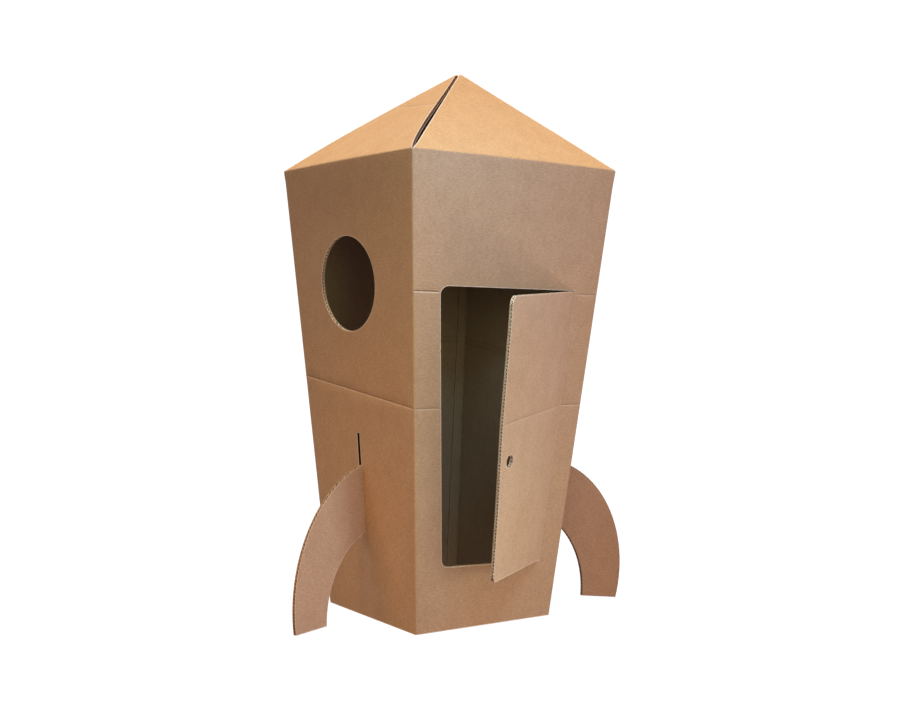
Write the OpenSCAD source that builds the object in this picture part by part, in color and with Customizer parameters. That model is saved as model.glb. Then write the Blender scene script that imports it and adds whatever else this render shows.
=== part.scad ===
// Cardboard rocket playhouse: a square tower that widens upward, under a pyramid of four roof flaps.
// Millimetres, +Z up. The origin is on the floor, at the middle of the tower. The door wall faces -Y.
// Each wall is drawn in its own frame: u to the right seen from outside, v up the slope from the floor,
// and the third axis outward from the wall's outer face.

/* [Tower] */
// Height of the eaves above the floor
eaves_h = 1050; // [950:10:1150]
// Width of the square tower at the eaves
eaves_w = 569; // [550:1:590]
// Width of the square tower at the floor
base_w = 380; // [370:1:390]
// Thickness of the double-wall board
board_t = 7; // [6:0.5:8]
// Outside radius of the folded corners at the floor
corner_r = 5; // [3:0.5:8]
// Width of the glue tab inside the closing corner
tab_w = 38; // [25:1:50]
// How far the glue tab stops short of the floor and of the eaves
tab_end = 25; // [15:1:60]

/* [Roof] */
// Height of the roof's peak above the eaves
peak_rise = 236; // [200:1:260]
// How far the peak leans to the right
peak_x = 26; // [-30:1:30]
// How far the peak leans to the back
peak_y = -9; // [-30:1:30]
// Setback of each flap's cut edge from the hip line
hip_setback = 3.8; // [3.6:0.1:6]
// Depth of the hollow in the window flap's edge at the front hip
hip_hollow = 10; // [0:0.5:14]
// How far the window flap's tip stops short of the others
tip_short = 4; // [0:0.5:10]

/* [Door] */
// Height of the doorway's sill at its free side, measured up the wall
door_v0 = 146; // [130:1:200]
// How much lower the sill is at the hinge
sill_drop = 9; // [0:1:15]
// Height of the doorway's head, measured up the wall
door_v1 = 770; // [740:1:800]
// Width of wall left between the doorway and the window side's corner
door_free_margin = 70; // [65:1:80]
// Wall left between the hinge crease and the far corner, at the sill
hinge_margin_low = 57; // [50:1:60]
// Wall left between the hinge crease and the far corner, at the head
hinge_margin_high = 68; // [60:1:72]
// Radius of the doorway's two free corners
door_corner_r = 20; // [10:1:30]
// Width of the cut round the door
door_cut = 1.5; // [1:0.5:3]
// How far the door stands open, in degrees
door_open = 30; // [0:1:90]
// Width of the finger hole
finger_w = 36; // [28:1:45]
// Height of the finger hole
finger_h = 26; // [20:1:27]
// Finger hole's centre from the door's free edge
finger_in = 50; // [40:1:60]
// Finger hole's centre, measured up the wall
finger_v = 411; // [380:1:440]

/* [Window] */
// Width of the round window
window_w = 236; // [200:2:240]
// Height of the window, which is slightly less
window_h = 218; // [200:2:240]
// Window's centre, measured up the wall
window_v = 776; // [740:1:800]
// Window's distance behind the wall's middle
window_back = 12; // [0:1:20]

/* [Fins] */
// Width of the fin slots
slot_w = 11; // [11:0.5:13]
// Upper end of every fin slot
slot_v1 = 433; // [425:1:450]
// How far a hung fin's toe stays clear of the floor
toe_clear = 6; // [0:1:15]
// Depth of the hook that hangs behind the wall
hook_drop = 70; // [50:1:70]
// Width of the hook
hook_w = 42; // [30:1:50]

/* [Window side's fin] */
// Its slot's distance behind the wall's middle
left_slot_back = 5; // [0:1:20]
// Lower end of its slot, measured up the wall
left_slot_v0 = 201; // [190:1:220]
// Top of its root
left_root_v = 358; // [345:1:370]
// How far it reaches from the wall
left_reach = 257; // [240:1:280]
// Width of its toe
left_toe_w = 102; // [95:1:125]
// How far its toe's inner corner stands above the outer one
left_toe_lift = 2; // [0:1:25]
// Radius of its outer edge
left_outer_r = 312; // [300:1:340]
// Radius of its inner edge
left_inner_r = 195; // [185:1:230]
// How far it is swung toward the door, in degrees
left_swing = 20; // [0:1:20]

/* [Right and rear fins] */
// Right slot's distance from the wall's middle toward the door
right_slot_front = 140; // [0:1:145]
// Lower end of their slots, measured up the wall
right_slot_v0 = 229; // [210:1:240]
// Top of their roots
right_root_v = 366; // [345:1:380]
// How far they reach from the wall
right_reach = 252; // [240:1:280]
// Width of their toes
right_toe_w = 112; // [95:1:125]
// How far their toes' inner corners stand above the outer ones
right_toe_lift = 16; // [5:1:25]
// Radius of their outer edges
right_outer_r = 280; // [270:1:340]
// Radius of their inner edges
right_inner_r = 210; // [190:1:240]

/* [Creases] */
// Depth of a crease line
crease_depth = 1.2; // [0.6:0.1:1.6]
// Height of the level folding crease, measured up the wall
crease_v = 504; // [480:1:520]
// How much lower that crease runs out at the door's free edge
door_crease_fall = 9; // [0:1:15]
// Depth of the short crease beside the doorway's head, below the head, at the free side
head_crease_left = 13; // [5:1:20]
// Depth of the short crease below the head at the hinge side
head_crease_right = 8; // [4:1:20]
// Height of the slanted crease where it meets the rear corner of the window wall
crease_left_v = 556; // [530:1:580]
// Height of the double crease at the front of the right wall
crease_right_v = 562; // [530:1:590]
// Height of the double crease at the rear corner of the right wall
crease_rear_v = 638; // [600:1:660]
// Spacing of the double crease's two lines
crease_gap = 14; // [8:1:24]

/* [Hidden] */
DOOR_WALL = 0;
RIGHT_WALL = 90;
REAR_WALL = 180;
WINDOW_WALL = 270;
// Cutters run this far past the faces that they cut
over = 1;
// Points along each rounded corner, and along each long curve
corner_steps = 6;
curve_steps = 28;
// Inside radius of the folded corners
inside_r = 1;
$fn = 96;
lean = atan((eaves_w - base_w) / 2 / eaves_h);
slope_len = eaves_h / cos(lean);
doorway_h = door_v1 - door_v0;
// Wedge cut from the door's hinge end, so that it closes without rubbing, in degrees
hinge_bevel = 3;
// Gap between the inside of a wall and the hook behind it
hook_gap = 2.5;
// Where a fin's inner edge starts, outside the wall's face
fin_lip = 2;
// Corner radii of the hook: inner foot, outer foot and top
hook_radii = [8, 16, 24];
// The crushed nick in the doorway's free edge, and its height up the wall
nick = 3;
nick_v = 629;
// Short creases stop this far from the edges beside them
crease_end = 6;
craft_brown = [0.72, 0.55, 0.40];
fin_tan = [0.74, 0.57, 0.44];

function unit(p) = p / norm(p);
// Half the wall's width, a distance v up the slope
function half_wall(v) = base_w / 2 + v * sin(lean);
// Inside width of the tower, at a height z above the floor
function inside_w(z) = base_w + 2 * z * tan(lean) - 2 * board_t / cos(lean);
function arc(centre, r, a0, a1, steps) =
    [for (i = [0 : steps]) centre + r * [cos(a0 + (a1 - a0) * i / steps), sin(a0 + (a1 - a0) * i / steps)]];
// The points that replace a corner at p, between its neighbours a and b, when it has radius r
function round_corner(a, p, b, r) =
    let (da = unit(a - p), db = unit(b - p), half = acos(da * db) / 2, c = p + unit(da + db) * r / sin(half))
    let (sa = p + da * r / tan(half) - c, sb = p + db * r / tan(half) - c)
    let (a0 = atan2(sa.y, sa.x), turn = atan2(sa.x * sb.y - sa.y * sb.x, sa * sb))
    arc(c, r, a0, a0 + turn, corner_steps);
function round_outline(pts, radii) =
    let (n = len(pts))
    [for (i = [0 : n - 1]) for (q = radii[i] == 0 ? [pts[i]]
        : round_corner(pts[(i + n - 1) % n], pts[i], pts[(i + 1) % n], radii[i])) q];
function rounded_square(w, r) = let (h = w / 2) round_outline([[-h, -h], [h, -h], [h, h], [-h, h]], [r, r, r, r]);
function oval(w, h) = [for (i = [0 : $fn - 1]) [w * cos(360 * i / $fn), h * sin(360 * i / $fn)] / 2];
// Centre of the circle of radius r through p and q, to the right of the way from p to q
function arc_centre(p, q, r) =
    let (d = q - p, half = norm(d) / 2)
    (p + q) / 2 + unit([d.y, -d.x]) * sqrt(r * r - half * half);
function angle_of(p) = atan2(p.y, p.x);

// Puts its children in the frame of one wall
module on_wall(yaw) {
    rotate([0, 0, yaw])
        translate([0, -base_w / 2, 0])
            rotate([90 + lean, 0, 0])
                children();
}

// A cutter through the board, with its outline in the wall's frame
module through(outline) {
    translate([0, 0, -board_t - over])
        linear_extrude(board_t + 2 * over)
            polygon(outline);
}

// The groove that a folding crease leaves, from p to q on one face of the board
module crease(p, q, face = 0) {
    d = q - p;
    side = crease_depth * sqrt(2);
    translate([p.x, p.y, face])
        rotate([0, 0, angle_of(d)])
            rotate([45, 0, 0])
                translate([0, -side / 2, -side / 2])
                    cube([norm(d), side, side]);
}

// The doorway and the door are cut from the same outline
function free_u(v) = -half_wall(v) + door_free_margin;
function hinge_u(v) =
    let (low = half_wall(door_v0) - hinge_margin_low, high = half_wall(door_v1) - hinge_margin_high)
    low + (high - low) * (v - door_v0) / doorway_h;
hinge_tilt = atan((hinge_u(door_v1) - hinge_u(door_v0)) / doorway_h);
hinge_v0 = door_v0 - sill_drop;
hinge_len = (door_v1 - hinge_v0) / cos(hinge_tilt);
function door_outline(gap) =
    let (low = door_v0 + gap, foot = hinge_v0 + gap, high = door_v1 - gap, r = door_corner_r - gap)
    round_outline([[free_u(low) + gap, low], [hinge_u(foot), foot], [hinge_u(high), high], [free_u(high) + gap, high]],
        [r, 0, 0, r]);

// Turns its children, drawn in the door wall's frame, about the hinge crease
module about_hinge(angle) {
    translate([hinge_u(hinge_v0), hinge_v0, 0])
        rotate([0, 0, -hinge_tilt])
            rotate([0, angle, 0])
                rotate([0, 0, hinge_tilt])
                    translate([-hinge_u(hinge_v0), -hinge_v0, 0])
                        children();
}

// One triangular roof flap: its base is the eaves, its tip is at the leaning peak
function flap_side(foot, tip, hollow, inward) =
    [for (i = [0 : curve_steps]) let (t = i / curve_steps)
        foot + (tip - foot) * t + inward * hollow * t * pow(1 - t, 2) * 27 / 4];
function flap_outline(tip, hollow) =
    let (half = eaves_w / 2, left = [-half, 0], right = [half, 0])
    let (left_in = unit([tip.y, -tip.x - half]), reach = half * tip.y / norm(tip - left))
    (1 - hip_setback / reach) * concat(flap_side(right, tip, hollow, [-left_in.x, left_in.y]), [left]);

module roof_flap(yaw, hollow = 0, short = 0) {
    peak = [peak_x * cos(yaw) + peak_y * sin(yaw), peak_y * cos(yaw) - peak_x * sin(yaw)];
    run = eaves_w / 2 + peak.y;
    rotate([0, 0, yaw])
        translate([0, -eaves_w / 2, eaves_h])
            rotate([atan(peak_rise / run), 0, 0])
                translate([0, 0, -board_t])
                    linear_extrude(board_t)
                        polygon(flap_outline([peak.x, norm([run, peak_rise]) - short], hollow));
}

module glue_tab() {
    low = tab_end;
    high = slope_len - tab_end;
    edge = board_t + over;
    on_wall(REAR_WALL)
        translate([0, 0, -2 * board_t])
            linear_extrude(board_t + over / 2)
                polygon([[-half_wall(low) + edge, low], [-half_wall(low) + tab_w, low + tab_w],
                    [-half_wall(high) + tab_w, high - tab_w], [-half_wall(high) + edge, high]]);
}

module tower_walls() {
    difference() {
        linear_extrude(eaves_h, scale = eaves_w / base_w)
            polygon(rounded_square(base_w, corner_r));
        translate([0, 0, -over])
            linear_extrude(eaves_h + 2 * over, scale = inside_w(eaves_h + over) / inside_w(-over))
                polygon(rounded_square(inside_w(-over), inside_r));
    }
}

module door_wall_creases() {
    v = crease_v;
    corner_u = half_wall(v) + over;
    crease([-corner_u, v], [free_u(v) + over, v]);
    crease([hinge_u(v) + crease_depth, v], [corner_u, v]);
    left_v = door_v1 - head_crease_left;
    right_v = door_v1 - head_crease_right;
    crease([-half_wall(left_v) + crease_end, left_v], [free_u(left_v) - crease_end, left_v]);
    crease([hinge_u(right_v) + crease_end, right_v], [half_wall(right_v) - crease_end, right_v]);
}

module window_wall_crease() {
    crease([-half_wall(crease_left_v) - over, crease_left_v], [half_wall(crease_v) + over, crease_v]);
}

// The double crease of the right wall shows on both faces, and runs on level round the rear wall
module double_crease(front, rear) {
    for (dv = [0, crease_gap]) {
        for (face = [0, -board_t]) {
            crease([-half_wall(front) - over, front + dv], [half_wall(rear) + over, rear + dv], face);
        }
    }
}

module slot_cut(u, low) {
    translate([u - slot_w / 2, low, -board_t - over])
        cube([slot_w, slot_v1 - low, board_t + 2 * over]);
}

// The walls, the roof flaps and the glue tab are one folded sheet
module body_shell() {
    color(craft_brown)
        difference() {
            union() {
                tower_walls();
                glue_tab();
                roof_flap(DOOR_WALL);
                roof_flap(RIGHT_WALL);
                roof_flap(REAR_WALL);
                roof_flap(WINDOW_WALL, hip_hollow, tip_short);
            }
            on_wall(DOOR_WALL) {
                through(door_outline(0));
                door_wall_creases();
                translate([free_u(nick_v), nick_v, -board_t / 2])
                    rotate([0, 0, 45])
                        cube([nick, nick, board_t + 2 * over], center = true);
            }
            on_wall(WINDOW_WALL) {
                translate([-window_back, window_v, 0])
                    through(oval(window_w, window_h));
                slot_cut(-left_slot_back, left_slot_v0);
                window_wall_crease();
            }
            on_wall(RIGHT_WALL) {
                slot_cut(-right_slot_front, right_slot_v0);
                double_crease(crease_right_v, crease_rear_v);
            }
            on_wall(REAR_WALL) {
                slot_cut(0, right_slot_v0);
                double_crease(crease_rear_v, crease_rear_v);
            }
        }
}

module door() {
    finger_u = free_u(finger_v) + finger_in;
    straight = finger_w - finger_h;
    color(craft_brown)
        on_wall(DOOR_WALL)
            about_hinge(door_open)
                difference() {
                    translate([0, 0, -board_t])
                        linear_extrude(board_t)
                            polygon(door_outline(door_cut));
                    for (side = [-1, 1])
                        translate([finger_u + side * straight / 2, finger_v, -board_t - over])
                            cylinder(h = board_t + 2 * over, r = finger_h / 2);
                    translate([finger_u - straight / 2, finger_v - finger_h / 2, -board_t - over])
                        cube([straight, finger_h, board_t + 2 * over]);
                    crease([free_u(crease_v) - over, crease_v - door_crease_fall],
                        [hinge_u(crease_v) - crease_depth, crease_v]);
                    translate([hinge_u(hinge_v0), hinge_v0, 0])
                        rotate([0, 0, -hinge_tilt])
                            rotate([0, hinge_bevel, 0])
                                translate([0, -over, -2 * board_t])
                                    cube([2 * board_t, hinge_len + 2 * over, 4 * board_t]);
                }
}

// Height of a point of a fin, a distance x outside the wall, that stands z above the floor
function fin_y(x, z) = (z + x * sin(lean)) / cos(lean);
// A fin's outline: x outward from the wall's outer face, y up the wall
function fin_outline(reach, width, lift, root_v, lip_v, outer_r, inner_r) =
    let (toe = [reach, fin_y(reach, toe_clear)], heel_x = reach - width)
    let (heel = [heel_x, fin_y(heel_x, toe_clear + lift)], root = [0, root_v], lip = [fin_lip, lip_v])
    let (oc = arc_centre(root, toe, outer_r), ic = arc_centre(lip, heel, inner_r))
    let (outer = arc(oc, outer_r, angle_of(root - oc), angle_of(toe - oc), curve_steps))
    let (inner = arc(ic, inner_r, angle_of(heel - ic), angle_of(lip - ic), curve_steps))
    let (face = -board_t - hook_gap, back = face - hook_w, low = lip_v - hook_drop)
    let (edges = concat(outer, inner, [[face, lip_v]]))
    round_outline(concat(edges, [[face, low], [back, low], [back, root_v]]),
        concat([for (p = edges) 0], hook_radii));
left_outline =
    fin_outline(left_reach, left_toe_w, left_toe_lift, left_root_v, left_slot_v0, left_outer_r, left_inner_r);
right_outline =
    fin_outline(right_reach, right_toe_w, right_toe_lift, right_root_v, right_slot_v0, right_outer_r, right_inner_r);

// A fin hung in a slot of one wall, and swung about the slot
module fin(yaw, slot_u, swing, outline) {
    color(fin_tan)
        on_wall(yaw)
            translate([slot_u, 0, -board_t / 2])
                rotate([0, swing, 0])
                    translate([0, 0, board_t / 2])
                        rotate([0, -90, 0])
                            linear_extrude(board_t, center = true)
                                polygon(outline);
}

module left_fin() fin(WINDOW_WALL, -left_slot_back, left_swing, left_outline);
module right_fin() fin(RIGHT_WALL, -right_slot_front, 0, right_outline);
module rear_fin() fin(REAR_WALL, 0, 0, right_outline);

body_shell();
door();
left_fin();
right_fin();
rear_fin();
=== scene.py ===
import math

import bpy
import bmesh
import numpy as np
from mathutils import Matrix, Vector
from mathutils.geometry import delaunay_2d_cdt


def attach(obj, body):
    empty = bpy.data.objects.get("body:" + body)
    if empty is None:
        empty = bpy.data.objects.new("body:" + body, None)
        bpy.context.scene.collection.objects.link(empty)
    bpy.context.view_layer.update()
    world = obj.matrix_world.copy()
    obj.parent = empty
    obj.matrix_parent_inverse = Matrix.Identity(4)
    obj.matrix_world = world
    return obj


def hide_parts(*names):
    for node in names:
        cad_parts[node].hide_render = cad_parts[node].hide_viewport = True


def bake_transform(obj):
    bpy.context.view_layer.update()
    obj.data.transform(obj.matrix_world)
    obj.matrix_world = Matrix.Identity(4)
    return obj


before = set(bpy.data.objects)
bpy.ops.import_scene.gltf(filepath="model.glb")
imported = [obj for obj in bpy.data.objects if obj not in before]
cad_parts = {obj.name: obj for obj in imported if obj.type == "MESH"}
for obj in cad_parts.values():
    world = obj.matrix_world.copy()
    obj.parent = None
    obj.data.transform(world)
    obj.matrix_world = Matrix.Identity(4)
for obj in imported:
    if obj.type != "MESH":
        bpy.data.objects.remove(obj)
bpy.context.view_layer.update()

# Sizes of the part as in its CAD source, in metres, with angles in degrees
EAVES_H, EAVES_W, BASE_W, BOARD = 1.050, 0.569, 0.380, 0.007
PEAK_RISE, PEAK_X, PEAK_Y = 0.236, 0.026, -0.009
HIP_SETBACK, HIP_HOLLOW, TIP_SHORT = 0.0038, 0.010, 0.004
TAB_W, TAB_END = 0.038, 0.025
DOOR_V0, SILL_DROP, DOOR_V1 = 0.146, 0.009, 0.770
DOOR_FREE_MARGIN, HINGE_LOW, HINGE_HIGH = 0.070, 0.057, 0.068
DOOR_CORNER_R, DOOR_CUT, DOOR_OPEN = 0.020, 0.0015, 30.0
FINGER_W, FINGER_H, FINGER_IN, FINGER_V = 0.036, 0.026, 0.050, 0.411
WINDOW_W, WINDOW_H, WINDOW_V, WINDOW_BACK = 0.236, 0.218, 0.776, 0.012
SLOT_W, SLOT_V1, TOE_CLEAR, FIN_LIP = 0.011, 0.433, 0.006, 0.002
HOOK_DROP, HOOK_W, HOOK_GAP, HOOK_RADII = 0.070, 0.042, 0.0025, (0.008, 0.016, 0.024)
LEFT_SLOT_BACK, RIGHT_SLOT_FRONT, LEFT_SWING = 0.005, 0.140, 20.0
LEFT_FIN = {
    "reach": 0.257, "toe": 0.102, "lift": 0.002, "root": 0.358, "lip": 0.201,
    "outer": 0.312, "inner": 0.195,
}
RIGHT_FIN = {
    "reach": 0.252, "toe": 0.112, "lift": 0.016, "root": 0.366, "lip": 0.229,
    "outer": 0.280, "inner": 0.210,
}
CREASE_V, DOOR_CREASE_FALL, CREASE_LEFT_V = 0.504, 0.009, 0.556
CREASE_RIGHT_V, CREASE_REAR_V, CREASE_GAP = 0.562, 0.638, 0.014
HEAD_CREASE_LEFT, HEAD_CREASE_RIGHT, CREASE_END = 0.013, 0.008, 0.006
NICK, NICK_V = 0.003, 0.629
# How far the two flaps bulge where they meet at the hip behind the window
HIP_BULGE = 0.0045
DOOR_WALL, RIGHT_WALL, REAR_WALL, WINDOW_WALL = 0, 90, 180, 270

# The board: three liners and two fluted layers, as depths below the outer face
LINER = 0.0006
MIDDLE = (0.0038, 0.0043)
FLUTE_PAPER = 0.0006
FLUTES = (
    {"pitch": 0.0079, "top": LINER, "bottom": MIDDLE[0]},
    {"pitch": 0.0065, "top": MIDDLE[1], "bottom": BOARD - LINER},
)
# How far the fluted layers stand back from a cut, and how far in they are made
CUT_BACK, CUT_DEEP = 0.0002, 0.0060

# Radii of the folded corners and eaves on the outer face. The corners sharpen just below the eaves.
CORNER_R, CORNER_TOP_R, SHARPEN, EAVES_R = 0.0046, 0.0014, 0.034, 0.0036
# The least radius on which a deeper layer turns
FOLD_MIN = 0.0004
# How far a roof flap's foot stays off the corner, over what height it is let out to there, and its blunt tip
FOOT_CLEAR, LET_OUT, TIP_BLUNT = 0.0003, 0.030, 0.0035
# Over what length a crease fades in at each end
CREASE_FADE = 0.020
# The faint crease across the window side's roof flap, with heights above the eaves
ROOF_CREASE = ((-0.093, 0.2505), (0.107, 0.2187))
# How far the door's free edge stands in at its crease, and how far that reaches up and down
DOOR_DENT, DENT_REACH = 0.003, 0.2
# Width of the worn strip along a cut, on the outer face
RIM = 0.0022
# Material slots. The core slot is near-black: painted shade in the board's hollows, on the liners' backs and
# in the fin slots. The cut slot is pale cut paper, and is also laid on flute flanks that face up as painted
# highlight.
OUTSIDE, INSIDE, CUT_AND_PAINTED_HIGHLIGHT, CORE_PAINTED_SHADE, PRESSED, ROOF = 0, 1, 2, 3, 4, 5

LEAN = math.atan((EAVES_W - BASE_W) / 2 / EAVES_H)
SIN, COS = math.sin(LEAN), math.cos(LEAN)
SLOPE = EAVES_H / COS


def half_wall(v):
    return BASE_W / 2 + v * SIN


def unit(p):
    return p / np.linalg.norm(p)


def arc(centre, r, a0, a1, steps):
    t = np.linspace(a0, a1, steps + 1)
    return centre + r * np.c_[np.cos(t), np.sin(t)]


def round_loop(points, radii, steps=6):
    """A closed loop with the corner at each point rounded to its radius."""
    out = []
    count = len(points)
    for i in range(count):
        a, p, b = (np.array(points[(i + k) % count], float) for k in (-1, 0, 1))
        r = radii[i]
        if r == 0:
            out.append([p])
            continue
        da, db = unit(a - p), unit(b - p)
        half = math.acos(da @ db) / 2
        c = p + unit(da + db) * r / math.sin(half)
        sa, sb = p + da * r / math.tan(half) - c, p + db * r / math.tan(half) - c
        a0 = math.atan2(sa[1], sa[0])
        turn = math.atan2(sa[0] * sb[1] - sa[1] * sb[0], sa @ sb)
        out.append(arc(c, r, a0, a0 + turn, steps))
    return np.concatenate(out)


def arc_centre(p, q, r):
    d = q - p
    half = np.linalg.norm(d) / 2
    return (p + q) / 2 + unit(np.array([d[1], -d[0]])) * math.sqrt(r * r - half * half)


def arc_between(p, q, r, steps):
    c = arc_centre(p, q, r)
    return arc(c, r, math.atan2(*(p - c)[::-1]), math.atan2(*(q - c)[::-1]), steps)


def dense(line, longest, steepest=None, closed=True):
    """The line with points added, so that no step is longer, or rises by more, than asked."""
    out = []
    pairs = zip(line, np.roll(line, -1, axis=0)) if closed else zip(line[:-1], line[1:])
    for p, q in pairs:
        n = math.ceil(np.linalg.norm(q - p) / longest - 1e-9)
        if steepest:
            n = max(n, math.ceil(abs(q[1] - p[1]) / steepest))
        n = max(n, 1)
        out += [p + (q - p) * i / n for i in range(n)]
    if not closed:
        out.append(line[-1])
    return np.array(out)


def inside(points, loop):
    """Which points lie inside the closed loop."""
    x, y = points[:, :1], points[:, 1:]
    x0, y0 = loop[:, 0], loop[:, 1]
    x1, y1 = np.roll(x0, -1), np.roll(y0, -1)
    crosses = (y0 > y) != (y1 > y)
    with np.errstate(divide="ignore", invalid="ignore"):
        at = x0 + (y - y0) * (x1 - x0) / (y1 - y0)
    return (crosses & (x < at)).sum(1) % 2 == 1


def flat_mesh(outline, holes, lines, spacing):
    """Triangles that fill the outline around its holes, with edges along the lines."""
    loops = [dense(outline, spacing)] + [dense(h, spacing) for h in holes]
    points, edges = [], []
    for loop in loops:
        start = len(points)
        points += list(loop)
        edges += [(start + i, start + (i + 1) % len(loop)) for i in range(len(loop))]
    for line in lines:
        line = dense(np.array(line, float), spacing, closed=False)
        keep = inside(line, loops[0])
        for hole in loops[1:]:
            keep &= ~inside(line, hole)
        start = len(points)
        points += list(line)
        edges += [(start + i, start + i + 1) for i in range(len(line) - 1) if keep[i] and keep[i + 1]]
    low, high = loops[0].min(0), loops[0].max(0)
    gx, gy = np.meshgrid(np.arange(low[0], high[0], spacing), np.arange(low[1], high[1], spacing))
    gx[1::2] += spacing / 2
    grid = np.c_[gx.ravel(), gy.ravel()]
    keep = inside(grid, loops[0])
    for hole in loops[1:]:
        keep &= ~inside(grid, hole)
    grid = grid[keep]
    fixed = np.array(points)
    near = np.array([np.min(np.hypot(*(fixed - g).T)) for g in grid]) if len(grid) else np.array([])
    points += list(grid[near > 0.45 * spacing]) if len(grid) else []
    got = delaunay_2d_cdt([Vector(p) for p in points], edges, [], 0, 1e-7, False)
    verts = np.array([tuple(v) for v in got[0]])
    tris = np.array([f for f in got[2]])
    mid = verts[tris].mean(1)
    keep = inside(mid, loops[0])
    for hole in loops[1:]:
        keep &= ~inside(mid, hole)
    a, b, c = (verts[tris[:, i]] for i in range(3))
    area = (b[:, 0] - a[:, 0]) * (c[:, 1] - a[:, 1]) - (b[:, 1] - a[:, 1]) * (c[:, 0] - a[:, 0])
    return verts, tris[keep & (abs(area) > 1e-12)]


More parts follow.
